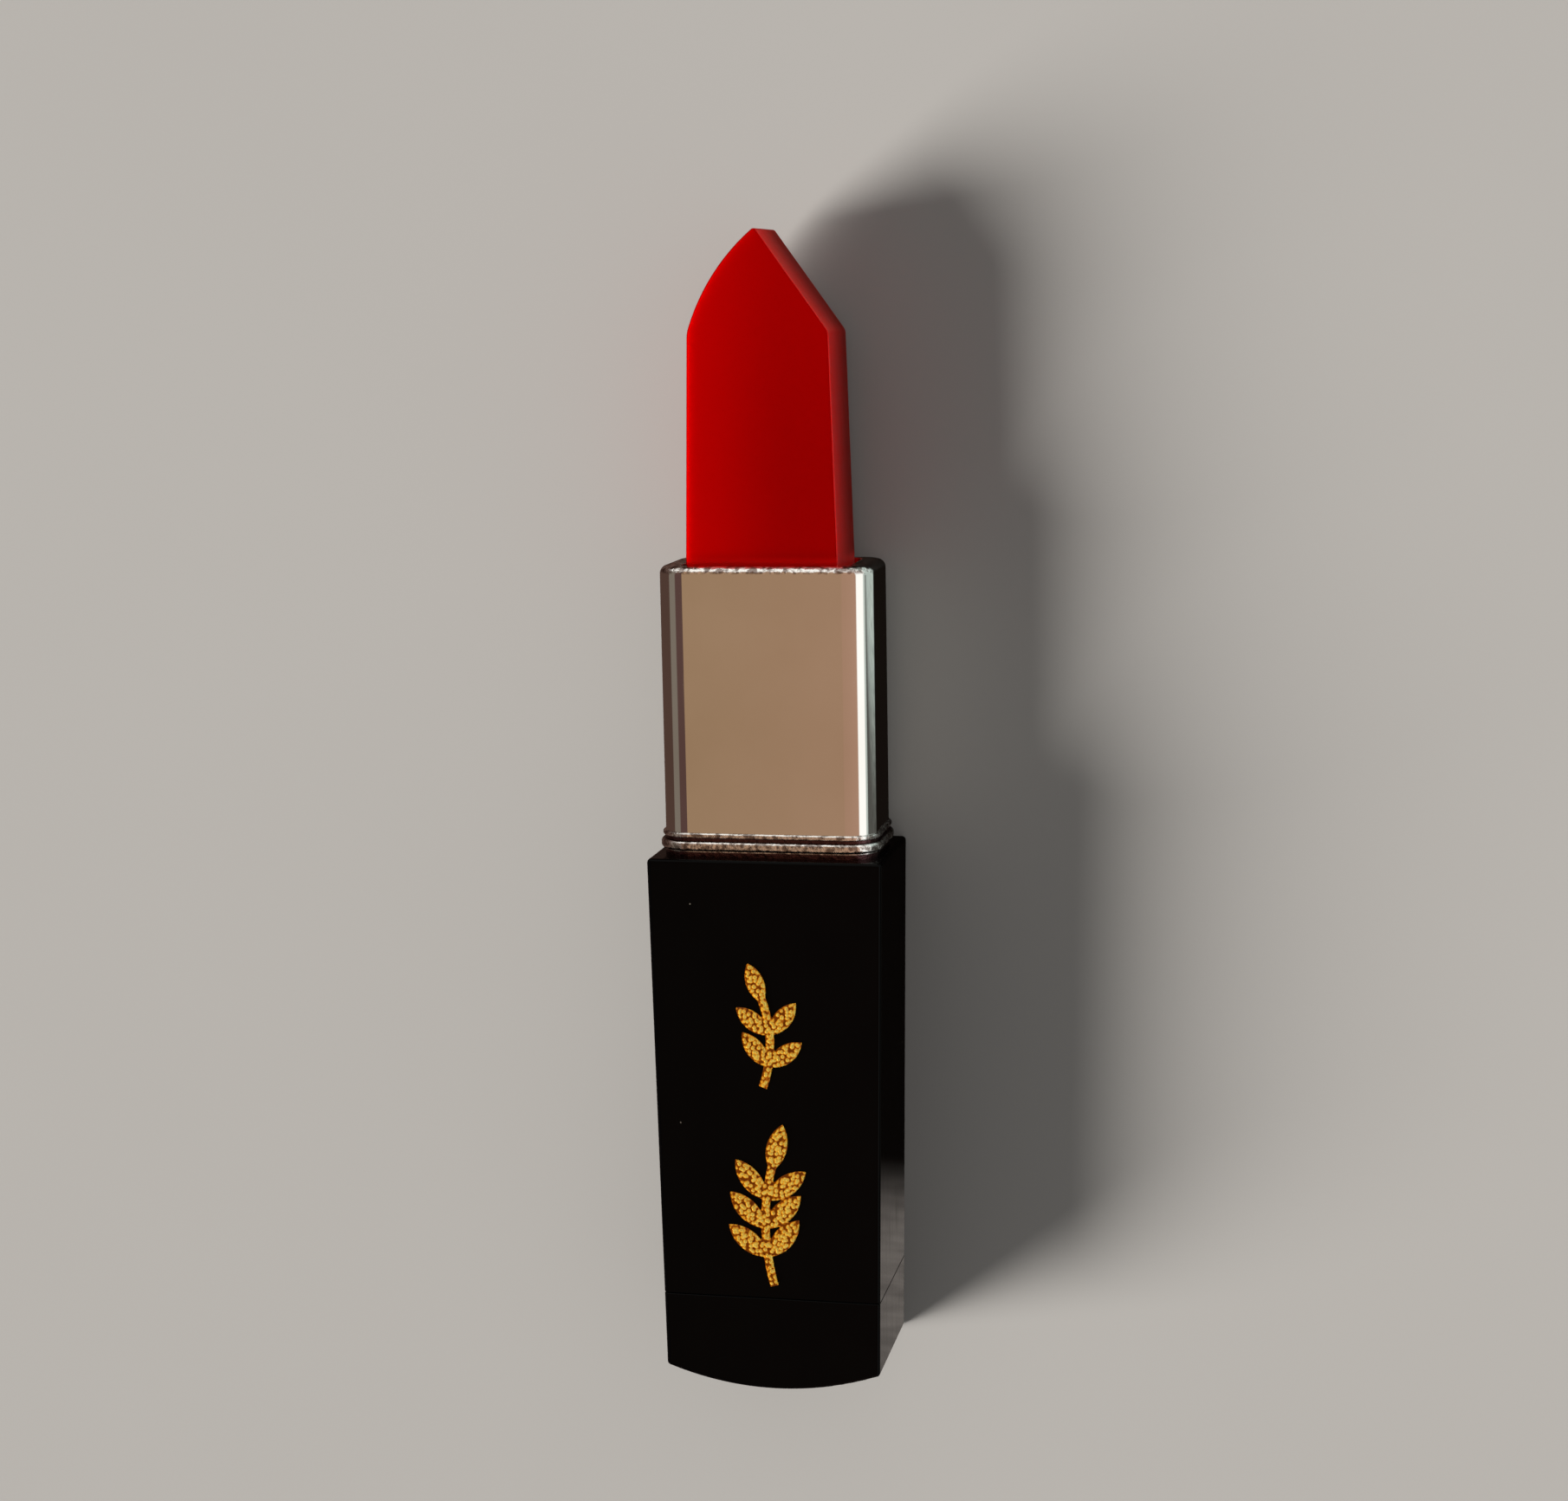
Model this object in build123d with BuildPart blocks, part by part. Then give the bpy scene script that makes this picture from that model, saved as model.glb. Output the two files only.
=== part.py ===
"""A slim twist-up lipstick: black tapered case, mirror sleeve, flat-faced bullet.

The lipstick lies on its back. X is its width, +Y is its long axis towards the bullet's
tip, +Z is its front. The origin is the middle of the bounding box, on the back face.
Places along the long axis are stations, counted from the lowest point of the bottom.
"""

from build123d import *
import math
import os

os.makedirs("parts", exist_ok=True)

# ---------------------------------------------------------------- driving dimensions, mm
TOTAL_LENGTH = 99.07
CASE_DEPTH = 13.0
AXIS_HEIGHT = CASE_DEPTH / 2

# Stations along the long axis
CORNER_STATION = 1.7  # where the bowed bottom meets the sides
SEAM_STATION = 8.2  # top of the turning base cap
SHOULDER_STATION = 46.6  # top of the black case
SLEEVE_TOP_STATION = 71.3
GABLE_STATION = 90.6  # where the bullet's sides turn into its slopes
APEX_STATION = 99.2  # where the slopes would meet if the tip weren't rounded

# Black case
CASE_TOP_WIDTH = 20.2
CASE_CORNER_WIDTH = 18.8
CASE_WALL = 1.3
CASE_INSIDE_CORNER = 1.0
EDGE_RADIUS = 0.35
SEAM_GAP = 0.06
SEAM_CHAMFER = 0.06

# Mirror sleeve and its ring
SLEEVE_WIDTH = 18.4
SLEEVE_DEPTH = 10.0
SLEEVE_CORNER = 2.4
SLEEVE_WALL = 0.35
SLEEVE_LIP = 0.9
SLEEVE_SEAT = 6.0  # length held inside the case
RIM_RADIUS = 0.75
MOUTH_WIDTH = 14.4
MOUTH_DEPTH = 8.4
MOUTH_RADIUS = 0.12
NECK_PROUD = 0.06
RING_BANDS = (  # height, how far it stands proud of the sleeve, and edge radius, from the foot up
    (0.5, NECK_PROUD, 0),
    (0.85, 0.4, 0.3),
    (0.25, NECK_PROUD, 0),
    (0.45, 0.24, 0.18),
)

# Bullet
BULLET_OFFSET = -0.17
BULLET_WIDTH = 13.0
BULLET_GABLE_WIDTH = 12.0
BULLET_DEPTH = 7.9
BULLET_EDGE = 0.15
APEX_OFFSET = -0.1
APEX_RADIUS = 0.3
LEFT_SLOPE_BULGE = 0.8
LEFT_SHOULDER_RADIUS = 3.0
RIGHT_SHOULDER_RADIUS = 0.9

# Elevator: cup, carrier and nut
TRAVEL = 29.4
TURNS = 2
CUP_TOP_STATION = 70.3
CUP_GRIP = 6.0  # depth of bullet held in the cup
CUP_FLOOR = 1.5
CUP_WIDTH = 14.0
CUP_DEPTH = 8.4
CUP_CORNER = 0.9
CARRIER_WALL = 0.9
CARRIER_INSIDE_CORNER = 0.5
CARRIER_FOOT_STATION = 43.3
CARRIER_FOOT = 4.0
NUT_WIDTH = 8.4
NUT_DEPTH = 5.2
NUT_CORNER = 0.6
NUT_FLANGE = 0.8
NUT_FLANGE_PROUD = 0.7

# Guide tube
GUIDE_CLEARANCE = 0.1
GUIDE_WALL_X = 0.5
GUIDE_WALL_Z = 0.35
GUIDE_ROOM_X = 0.3  # gap to the case on each side
GUIDE_ROOM_Z = 0.1
GUIDE_RIB = 2.4

# Spindle and bearing
SPINDLE_ACROSS = 2.8
SPINDLE_CORNER = 0.5
NUT_CLEARANCE = 0.08
SPINDLE_BORE_RADIUS = 2.0  # clear hole for the spindle in cup and bullet
JOURNAL_RADIUS = 2.25
BEARING_CLEARANCE = 0.05
HUB_TO_SEAM = 0.2
SPINDLE_PAST_NUT = 1.0
SOCKET_ACROSS = 3.6
SOCKET_DEPTH = 4.0
HUB_RADIUS = 4.6
HUB_THICKNESS = 0.9
PLATE_THICKNESS = 2.0
FRICTION_RING_SECTION = 0.45
FRICTION_POCKET_DEPTH = 0.7
CLIP_THICKNESS = 0.5
CLIP_PLAY = 0.15
CLIP_RADIUS = 3.5
CLIP_OPENING = 3.1
GROOVE_RADIUS = 1.75
JOURNAL_PAST_CLIP = 0.4

# Base cap inside
BASE_FLOOR_STATION = 3.0
BOSS_RADIUS = 3.4
WEIGHT_THICKNESS = 3.2
WEIGHT_GAP = 0.1
WEIGHT_CORNER = 0.9

# Gold ornament: two leafy sprigs, one after the other along the front
ORNAMENT_HEIGHT = 0.3
STEM_WIDTH = 0.75
STEM_BOW = 0.7
LOWER_SPRIG = (9.4, 24.6)  # first and last station
LOWER_LEAF = (4.4, 1.8)  # length and width
UPPER_SPRIG = (27.0, 38.5)
UPPER_LEAF = (3.7, 1.6)
LEAF_ANGLE = 45  # between a side leaf and the stem
FIRST_LEAF_SHARE = 0.3  # how far along the stem its first leaves grow
LEAF_OVERLAP = 0.06  # share of the stem by which a leaf starts inside it

# ---------------------------------------------------------------- values worked out
CASE_TAPER = (CASE_TOP_WIDTH - CASE_CORNER_WIDTH) / (SHOULDER_STATION - CORNER_STATION)
SHELL_BOTTOM_STATION = SEAM_STATION + SEAM_GAP
PLATE_TOP_STATION = SHELL_BOTTOM_STATION + PLATE_THICKNESS
GUIDE_INSIDE_WIDTH = CUP_WIDTH + 2 * GUIDE_CLEARANCE
GUIDE_INSIDE_DEPTH = CUP_DEPTH + 2 * GUIDE_CLEARANCE
GUIDE_WIDTH = GUIDE_INSIDE_WIDTH + 2 * GUIDE_WALL_X
GUIDE_DEPTH = GUIDE_INSIDE_DEPTH + 2 * GUIDE_WALL_Z
GUIDE_CORNER = CUP_CORNER + GUIDE_CLEARANCE
GUIDE_TOP_STATION = SLEEVE_TOP_STATION - SLEEVE_LIP
SLEEVE_FOOT_STATION = SHOULDER_STATION - SLEEVE_SEAT
CUP_FLOOR_STATION = CUP_TOP_STATION - CUP_GRIP
CARRIER_TOP_STATION = CUP_FLOOR_STATION - CUP_FLOOR
CLIP_STATION = PLATE_TOP_STATION + CLIP_PLAY
JOURNAL_TOP_STATION = CLIP_STATION + CLIP_THICKNESS + JOURNAL_PAST_CLIP
SPINDLE_TOP_STATION = CARRIER_FOOT_STATION + CARRIER_FOOT + SPINDLE_PAST_NUT
BULLET_BORE_TOP_STATION = SPINDLE_TOP_STATION + TRAVEL + SPINDLE_PAST_NUT
HUB_TOP_STATION = SEAM_STATION - HUB_TO_SEAM
HUB_BOTTOM_STATION = HUB_TOP_STATION - HUB_THICKNESS
LEAD = TRAVEL / TURNS


def case_width(station):
    """Width of the black case at a station."""
    return CASE_CORNER_WIDTH + CASE_TAPER * (station - CORNER_STATION)


def along(station):
    """Y of a station."""
    return station - TOTAL_LENGTH / 2


def across(station):
    """Plane square to the long axis at a station, facing the tip."""
    return Plane(origin=(0, along(station), AXIS_HEIGHT), x_dir=(1, 0, 0), z_dir=(0, 1, 0))


def write(piece, label):
    """Names a finished piece and writes its STEP file."""
    piece.part.label = label
    export_step(piece.part, f"parts/{label}.step")


def twisted_bar(across_flats, corner, bottom, top):
    """Square bar twisted left-handed, one turn per lead, always in phase with the spindle."""
    phase = -360 * (bottom - JOURNAL_TOP_STATION) / LEAD
    with BuildSketch(Plane.XY) as section:
        RectangleRounded(across_flats, across_flats, corner, rotation=phase)
    length = top - bottom
    bar = Solid.extrude_linear_with_rotation(
        section.sketch.faces()[0], (0, 0, 0), (0, 0, length), -360 * length / LEAD
    )
    return across(bottom).location * bar


# ---------------------------------------------------------------- black case
half_seam = case_width(SHELL_BOTTOM_STATION) / 2
half_top = CASE_TOP_WIDTH / 2

with BuildPart() as body_shell:
    with BuildSketch(Plane.XY):
        with BuildLine():
            Polyline(
                (-half_seam, along(SHELL_BOTTOM_STATION)),
                (half_seam, along(SHELL_BOTTOM_STATION)),
                (half_top, along(SHOULDER_STATION)),
                (-half_top, along(SHOULDER_STATION)),
                close=True,
            )
        make_face()
    extrude(amount=CASE_DEPTH)
    rim = body_shell.faces().sort_by(Axis.Y)[-1].edges()
    long_edges = body_shell.faces().filter_by(Axis.Z).edges().filter_by(Axis.X, reverse=True)
    fillet(long_edges + rim, radius=EDGE_RADIUS)
    chamfer(body_shell.faces().sort_by(Axis.Y)[0].edges(), length=SEAM_CHAMFER)
    # Recess for the bearing plate, then the room for the guide tube, then the sleeve's seat
    recess_width = case_width(SHELL_BOTTOM_STATION) - 2 * CASE_WALL
    recess_depth = CASE_DEPTH - 2 * CASE_WALL
    with BuildSketch(across(SHELL_BOTTOM_STATION)):
        RectangleRounded(recess_width, recess_depth, CASE_INSIDE_CORNER)
    extrude(amount=PLATE_THICKNESS, mode=Mode.SUBTRACT)
    with BuildSketch(across(PLATE_TOP_STATION)):
        RectangleRounded(
            GUIDE_WIDTH + 2 * GUIDE_ROOM_X, GUIDE_DEPTH + 2 * GUIDE_ROOM_Z, GUIDE_CORNER
        )
    extrude(amount=SLEEVE_FOOT_STATION - PLATE_TOP_STATION, mode=Mode.SUBTRACT)
    with BuildSketch(across(SLEEVE_FOOT_STATION)):
        RectangleRounded(SLEEVE_WIDTH, SLEEVE_DEPTH, SLEEVE_CORNER)
    extrude(amount=SLEEVE_SEAT, mode=Mode.SUBTRACT)
write(body_shell, "body_shell")

# ---------------------------------------------------------------- turning base cap
half_corner = CASE_CORNER_WIDTH / 2
half_cap = case_width(SEAM_STATION) / 2

with BuildPart() as base_cap:
    with BuildSketch(Plane.XY):
        with BuildLine():
            ThreePointArc(
                (-half_corner, along(CORNER_STATION)),
                (0, along(0)),
                (half_corner, along(CORNER_STATION)),
            )
            Polyline(
                (half_corner, along(CORNER_STATION)),
                (half_cap, along(SEAM_STATION)),
                (-half_cap, along(SEAM_STATION)),
                (-half_corner, along(CORNER_STATION)),
            )
        make_face()
    extrude(amount=CASE_DEPTH)
    outside_edges = base_cap.edges().filter_by(
        lambda edge: edge.center().Y < along(SEAM_STATION) - EDGE_RADIUS
    )
    fillet(outside_edges, radius=EDGE_RADIUS)
    chamfer(base_cap.faces().sort_by(Axis.Y)[-1].edges(), length=SEAM_CHAMFER)
    # Room for the weight, with a central boss that holds the spindle's square foot
    room_width = CASE_CORNER_WIDTH - 2 * CASE_WALL
    room_depth = CASE_DEPTH - 2 * CASE_WALL
    with BuildSketch(across(BASE_FLOOR_STATION)):
        RectangleRounded(room_width, room_depth, CASE_INSIDE_CORNER)
    extrude(amount=SEAM_STATION - BASE_FLOOR_STATION, mode=Mode.SUBTRACT)
    with BuildSketch(across(BASE_FLOOR_STATION)):
        Circle(BOSS_RADIUS)
        Rectangle(SOCKET_ACROSS, SOCKET_ACROSS, mode=Mode.SUBTRACT)
    extrude(amount=HUB_BOTTOM_STATION - BASE_FLOOR_STATION)
write(base_cap, "base_cap")

# ---------------------------------------------------------------- weight in the base cap
with BuildPart() as base_weight:
    with BuildSketch(across(BASE_FLOOR_STATION)):
        RectangleRounded(
            room_width - 2 * WEIGHT_GAP, room_depth - 2 * WEIGHT_GAP, WEIGHT_CORNER
        )
        Circle(BOSS_RADIUS + WEIGHT_GAP, mode=Mode.SUBTRACT)
    extrude(amount=WEIGHT_THICKNESS)
write(base_weight, "base_weight")

# ---------------------------------------------------------------- bearing plate
pocket_radius = JOURNAL_RADIUS + 2 * FRICTION_RING_SECTION + BEARING_CLEARANCE

with BuildPart() as bearing_plate:
    with BuildSketch(across(SHELL_BOTTOM_STATION)):
        RectangleRounded(recess_width, recess_depth, CASE_INSIDE_CORNER)
        Circle(JOURNAL_RADIUS + BEARING_CLEARANCE, mode=Mode.SUBTRACT)
    extrude(amount=PLATE_THICKNESS)
    with BuildSketch(across(SHELL_BOTTOM_STATION)):
        Circle(pocket_radius)
    extrude(amount=FRICTION_POCKET_DEPTH, mode=Mode.SUBTRACT)
write(bearing_plate, "bearing_plate")

# ---------------------------------------------------------------- drive spindle
spindle_screw = twisted_bar(
    SPINDLE_ACROSS, SPINDLE_CORNER, JOURNAL_TOP_STATION, SPINDLE_TOP_STATION
)

with BuildPart() as drive_spindle:
    with BuildSketch(across(HUB_BOTTOM_STATION - SOCKET_DEPTH)):
        Rectangle(SOCKET_ACROSS, SOCKET_ACROSS)
    extrude(amount=SOCKET_DEPTH)
    with BuildSketch(across(HUB_BOTTOM_STATION)):
        Circle(HUB_RADIUS)
    extrude(amount=HUB_THICKNESS)
    with BuildSketch(across(HUB_TOP_STATION)):
        Circle(JOURNAL_RADIUS)
    extrude(amount=JOURNAL_TOP_STATION - HUB_TOP_STATION)
    with BuildSketch(across(CLIP_STATION)):
        Circle(JOURNAL_RADIUS)
        Circle(GROOVE_RADIUS, mode=Mode.SUBTRACT)
    extrude(amount=CLIP_THICKNESS, mode=Mode.SUBTRACT)
    add(spindle_screw)
write(drive_spindle, "drive_spindle")

# ---------------------------------------------------------------- friction ring
friction_ring_station = HUB_TOP_STATION + FRICTION_RING_SECTION
friction_ring_radius = JOURNAL_RADIUS + FRICTION_RING_SECTION

with BuildPart() as friction_ring:
    with BuildSketch(Plane.XY):
        with Locations((friction_ring_radius, along(friction_ring_station))):
            Circle(FRICTION_RING_SECTION)
    revolve(axis=Axis.Y)
friction_ring.part.locate(Location((0, 0, AXIS_HEIGHT)))
write(friction_ring, "friction_ring")

# ---------------------------------------------------------------- retaining clip
with BuildPart() as retaining_clip:
    with BuildSketch(across(CLIP_STATION)):
        Circle(CLIP_RADIUS)
        Circle(GROOVE_RADIUS, mode=Mode.SUBTRACT)
        with Locations((0, CLIP_RADIUS / 2)):
            Rectangle(CLIP_OPENING, CLIP_RADIUS, mode=Mode.SUBTRACT)
    extrude(amount=CLIP_THICKNESS)
write(retaining_clip, "retaining_clip")

# ---------------------------------------------------------------- guide tube
rib_width = SLEEVE_WIDTH - 2 * SLEEVE_WALL

with BuildPart() as guide_tube:
    with BuildSketch(across(PLATE_TOP_STATION)):
        RectangleRounded(GUIDE_WIDTH, GUIDE_DEPTH, GUIDE_CORNER)
    extrude(amount=GUIDE_TOP_STATION - PLATE_TOP_STATION)
    # Ribs that centre the tube in the wider sleeve
    with BuildSketch(across(SLEEVE_FOOT_STATION)):
        Rectangle(rib_width, GUIDE_RIB)
    extrude(amount=GUIDE_TOP_STATION - SLEEVE_FOOT_STATION)
    with BuildSketch(across(PLATE_TOP_STATION)):
        RectangleRounded(GUIDE_INSIDE_WIDTH, GUIDE_INSIDE_DEPTH, GUIDE_CORNER)
    extrude(amount=GUIDE_TOP_STATION - PLATE_TOP_STATION, mode=Mode.SUBTRACT)
write(guide_tube, "guide_tube")

# ---------------------------------------------------------------- mirror sleeve
with BuildPart() as mirror_sleeve:
    with BuildSketch(across(SLEEVE_FOOT_STATION)):
        RectangleRounded(SLEEVE_WIDTH, SLEEVE_DEPTH, SLEEVE_CORNER)
    extrude(amount=SLEEVE_TOP_STATION - SLEEVE_FOOT_STATION)
    fillet(mirror_sleeve.faces().sort_by(Axis.Y)[-1].edges(), radius=RIM_RADIUS)
    with BuildSketch(across(SLEEVE_FOOT_STATION)):
        RectangleRounded(
            SLEEVE_WIDTH - 2 * SLEEVE_WALL,
            SLEEVE_DEPTH - 2 * SLEEVE_WALL,
            SLEEVE_CORNER - SLEEVE_WALL,
        )
    extrude(amount=GUIDE_TOP_STATION - SLEEVE_FOOT_STATION, mode=Mode.SUBTRACT)
    with BuildSketch(across(GUIDE_TOP_STATION)):
        RectangleRounded(MOUTH_WIDTH, MOUTH_DEPTH, GUIDE_CORNER)
    extrude(amount=SLEEVE_LIP, mode=Mode.SUBTRACT)
    mouth = mirror_sleeve.faces().sort_by(Axis.Y)[-1].inner_wires()[0].edges()
    fillet(mouth, radius=MOUTH_RADIUS)
write(mirror_sleeve, "mirror_sleeve")

# ---------------------------------------------------------------- ring at the sleeve's foot
ring_bands = []
band_station = SHOULDER_STATION
for height, proud, radius in RING_BANDS:
    with BuildPart() as band:
        with BuildSketch(across(band_station)):
            RectangleRounded(
                SLEEVE_WIDTH + 2 * proud, SLEEVE_DEPTH + 2 * proud, SLEEVE_CORNER + proud
            )
            RectangleRounded(SLEEVE_WIDTH, SLEEVE_DEPTH, SLEEVE_CORNER, mode=Mode.SUBTRACT)
        extrude(amount=height)
        if radius:
            ends = band.faces().filter_by(Axis.Y)
            fillet([edge for end in ends for edge in end.outer_wire().edges()], radius=radius)
    ring_bands.append(band.part)
    band_station += height

with BuildPart() as collar_ring:
    add(ring_bands)
write(collar_ring, "collar_ring")

# ---------------------------------------------------------------- elevator cup
with BuildPart() as bullet_cup:
    with BuildSketch(across(CARRIER_TOP_STATION)):
        RectangleRounded(CUP_WIDTH, CUP_DEPTH, CUP_CORNER)
    extrude(amount=CUP_TOP_STATION - CARRIER_TOP_STATION)
    with BuildSketch(across(CUP_FLOOR_STATION)):
        with Locations((BULLET_OFFSET, 0)):
            RectangleRounded(BULLET_WIDTH, BULLET_DEPTH, BULLET_EDGE)
    extrude(amount=CUP_GRIP, mode=Mode.SUBTRACT)
    with BuildSketch(across(CARRIER_TOP_STATION)):
        Circle(SPINDLE_BORE_RADIUS)
    extrude(amount=CUP_FLOOR, mode=Mode.SUBTRACT)
write(bullet_cup, "bullet_cup")

# ---------------------------------------------------------------- elevator carrier
flange_width = NUT_WIDTH + 2 * NUT_FLANGE_PROUD
flange_depth = NUT_DEPTH + 2 * NUT_FLANGE_PROUD

with BuildPart() as lift_carrier:
    with BuildSketch(across(CARRIER_FOOT_STATION)):
        RectangleRounded(CUP_WIDTH, CUP_DEPTH, CUP_CORNER)
    extrude(amount=CARRIER_TOP_STATION - CARRIER_FOOT_STATION)
    with BuildSketch(across(CARRIER_FOOT_STATION + CARRIER_FOOT)):
        RectangleRounded(
            CUP_WIDTH - 2 * CARRIER_WALL, CUP_DEPTH - 2 * CARRIER_WALL, CARRIER_INSIDE_CORNER
        )
    extrude(
        amount=CARRIER_TOP_STATION - CARRIER_FOOT_STATION - CARRIER_FOOT, mode=Mode.SUBTRACT
    )
    # Seat for the nut and its flange, open at the foot
    with BuildSketch(across(CARRIER_FOOT_STATION)):
        RectangleRounded(NUT_WIDTH, NUT_DEPTH, NUT_CORNER)
    extrude(amount=CARRIER_FOOT, mode=Mode.SUBTRACT)
    with BuildSketch(across(CARRIER_FOOT_STATION)):
        RectangleRounded(flange_width, flange_depth, NUT_CORNER)
    extrude(amount=NUT_FLANGE, mode=Mode.SUBTRACT)
write(lift_carrier, "lift_carrier")

# ---------------------------------------------------------------- drive nut
nut_hole = twisted_bar(
    SPINDLE_ACROSS + 2 * NUT_CLEARANCE,
    SPINDLE_CORNER + NUT_CLEARANCE,
    CARRIER_FOOT_STATION - NUT_FLANGE,
    CARRIER_FOOT_STATION + CARRIER_FOOT + NUT_FLANGE,
)

with BuildPart() as drive_nut:
    with BuildSketch(across(CARRIER_FOOT_STATION)):
        RectangleRounded(NUT_WIDTH, NUT_DEPTH, NUT_CORNER)
    extrude(amount=CARRIER_FOOT)
    with BuildSketch(across(CARRIER_FOOT_STATION)):
        RectangleRounded(flange_width, flange_depth, NUT_CORNER)
    extrude(amount=NUT_FLANGE)
    add(nut_hole, mode=Mode.SUBTRACT)
write(drive_nut, "drive_nut")

# ---------------------------------------------------------------- bullet
left_base = (BULLET_OFFSET - BULLET_WIDTH / 2, along(SLEEVE_TOP_STATION))
right_base = (BULLET_OFFSET + BULLET_WIDTH / 2, along(SLEEVE_TOP_STATION))
left_gable = (BULLET_OFFSET - BULLET_GABLE_WIDTH / 2, along(GABLE_STATION))
right_gable = (BULLET_OFFSET + BULLET_GABLE_WIDTH / 2, along(GABLE_STATION))
apex = (BULLET_OFFSET + APEX_OFFSET, along(APEX_STATION))

with BuildPart() as lipstick_bullet:
    with BuildSketch(Plane.XY.offset(AXIS_HEIGHT)):
        with BuildLine():
            Polyline(
                left_gable,
                left_base,
                (left_base[0], along(CUP_FLOOR_STATION)),
                (right_base[0], along(CUP_FLOOR_STATION)),
                right_base,
                right_gable,
                apex,
            )
            SagittaArc(apex, left_gable, -LEFT_SLOPE_BULGE)
        make_face()
    extrude(amount=BULLET_DEPTH / 2, both=True)
    shoulders = lipstick_bullet.edges().filter_by(Axis.Z).filter_by_position(
        Axis.Y, along(GABLE_STATION) - 0.1, along(GABLE_STATION) + 0.1
    )
    fillet(shoulders.sort_by(Axis.X)[0], radius=LEFT_SHOULDER_RADIUS)
    fillet(shoulders.sort_by(Axis.X)[-1], radius=RIGHT_SHOULDER_RADIUS)
    ridge = lipstick_bullet.edges().filter_by(Axis.Z).sort_by(Axis.Y)[-1]
    fillet(ridge, radius=APEX_RADIUS)
    outline = lipstick_bullet.faces().filter_by(Axis.Z).edges()
    exposed = outline.filter_by(lambda edge: edge.center().Y > along(CUP_TOP_STATION))
    fillet(exposed, radius=BULLET_EDGE)
    with BuildSketch(across(CUP_FLOOR_STATION)):
        Circle(SPINDLE_BORE_RADIUS)
    extrude(amount=BULLET_BORE_TOP_STATION - CUP_FLOOR_STATION, mode=Mode.SUBTRACT)
write(lipstick_bullet, "lipstick_bullet")


# ---------------------------------------------------------------- gold ornament
def leaf(place, heading, size):
    """Pointed leaf of a length and width, growing from place at a heading in degrees."""
    length, width = size
    tip = Vector(place) + Vector(length, 0).rotate(Axis.Z, heading)
    with BuildLine() as outline:
        SagittaArc(place, tip, width / 2)
        SagittaArc(tip, place, width / 2)
    make_face(outline.edges())


def sprig(stations, leaf_size, pairs, side):
    """Bowed stem with pairs of leaves and one at its end; side is -1 or 1."""
    x = side * STEM_BOW / 2
    with BuildLine() as centre_line:
        stem = SagittaArc(
            (x, along(stations[0])), (x, along(stations[1] - leaf_size[0])), side * STEM_BOW
        )
    trace(centre_line.edges(), line_width=STEM_WIDTH)
    step = (1 - FIRST_LEAF_SHARE) / pairs
    for number in range(pairs + 1):
        share = FIRST_LEAF_SHARE + number * step
        growth = stem % share
        heading = math.degrees(math.atan2(growth.Y, growth.X))
        turns = [0] if number == pairs else [-LEAF_ANGLE, LEAF_ANGLE]
        for turn in turns:
            leaf(stem @ (share - LEAF_OVERLAP), heading + turn, leaf_size)


with BuildPart() as gold_ornament:
    with BuildSketch(Plane.XY.offset(CASE_DEPTH)):
        sprig(LOWER_SPRIG, LOWER_LEAF, 3, 1)
        sprig(UPPER_SPRIG, UPPER_LEAF, 2, -1)
    extrude(amount=ORNAMENT_HEIGHT)
write(gold_ornament, "gold_ornament")
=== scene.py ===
"""Looks of the slim twist-up lipstick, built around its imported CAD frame, in metres.

The lipstick lies on its back: X is its width, +Y points to the bullet's tip, +Z is its front.
"""

import math
import random

import bmesh
import bpy
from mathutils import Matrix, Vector, kdtree


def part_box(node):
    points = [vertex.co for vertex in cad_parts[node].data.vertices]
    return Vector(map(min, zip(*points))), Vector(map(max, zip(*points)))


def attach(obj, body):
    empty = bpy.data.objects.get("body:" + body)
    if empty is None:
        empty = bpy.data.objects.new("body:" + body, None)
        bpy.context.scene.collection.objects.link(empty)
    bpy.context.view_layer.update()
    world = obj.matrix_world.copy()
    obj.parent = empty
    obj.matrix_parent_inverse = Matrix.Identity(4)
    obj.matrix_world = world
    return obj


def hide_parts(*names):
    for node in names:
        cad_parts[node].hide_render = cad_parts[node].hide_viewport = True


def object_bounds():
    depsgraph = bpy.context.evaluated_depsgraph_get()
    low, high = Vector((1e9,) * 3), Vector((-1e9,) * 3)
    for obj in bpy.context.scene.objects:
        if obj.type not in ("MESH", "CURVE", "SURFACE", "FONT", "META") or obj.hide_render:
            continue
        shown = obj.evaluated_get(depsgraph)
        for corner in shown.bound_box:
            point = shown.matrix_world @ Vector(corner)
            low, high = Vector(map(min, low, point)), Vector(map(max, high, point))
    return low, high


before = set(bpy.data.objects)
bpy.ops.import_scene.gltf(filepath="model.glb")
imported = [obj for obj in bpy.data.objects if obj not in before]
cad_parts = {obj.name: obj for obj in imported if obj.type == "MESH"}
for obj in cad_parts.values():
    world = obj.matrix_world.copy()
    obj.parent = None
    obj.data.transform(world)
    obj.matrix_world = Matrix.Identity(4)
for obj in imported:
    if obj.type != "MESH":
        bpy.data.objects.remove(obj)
cad_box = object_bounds()
scene = bpy.context.scene

MM = 0.001

# ---------------------------------------------------------------- driving values
# Camera, above the front and a little to its right and top
CAMERA_PLACE = (0.050576, 0.043918, 0.241253)
CAMERA_TURN = (-9.312, 11.840, -1.060)  # degrees
CAMERA_LENS = 65.09  # mm, on a 36 mm sensor
CAMERA_SENSOR = 36.0
CAMERA_CLIP = (0.01, 20.0)

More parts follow.
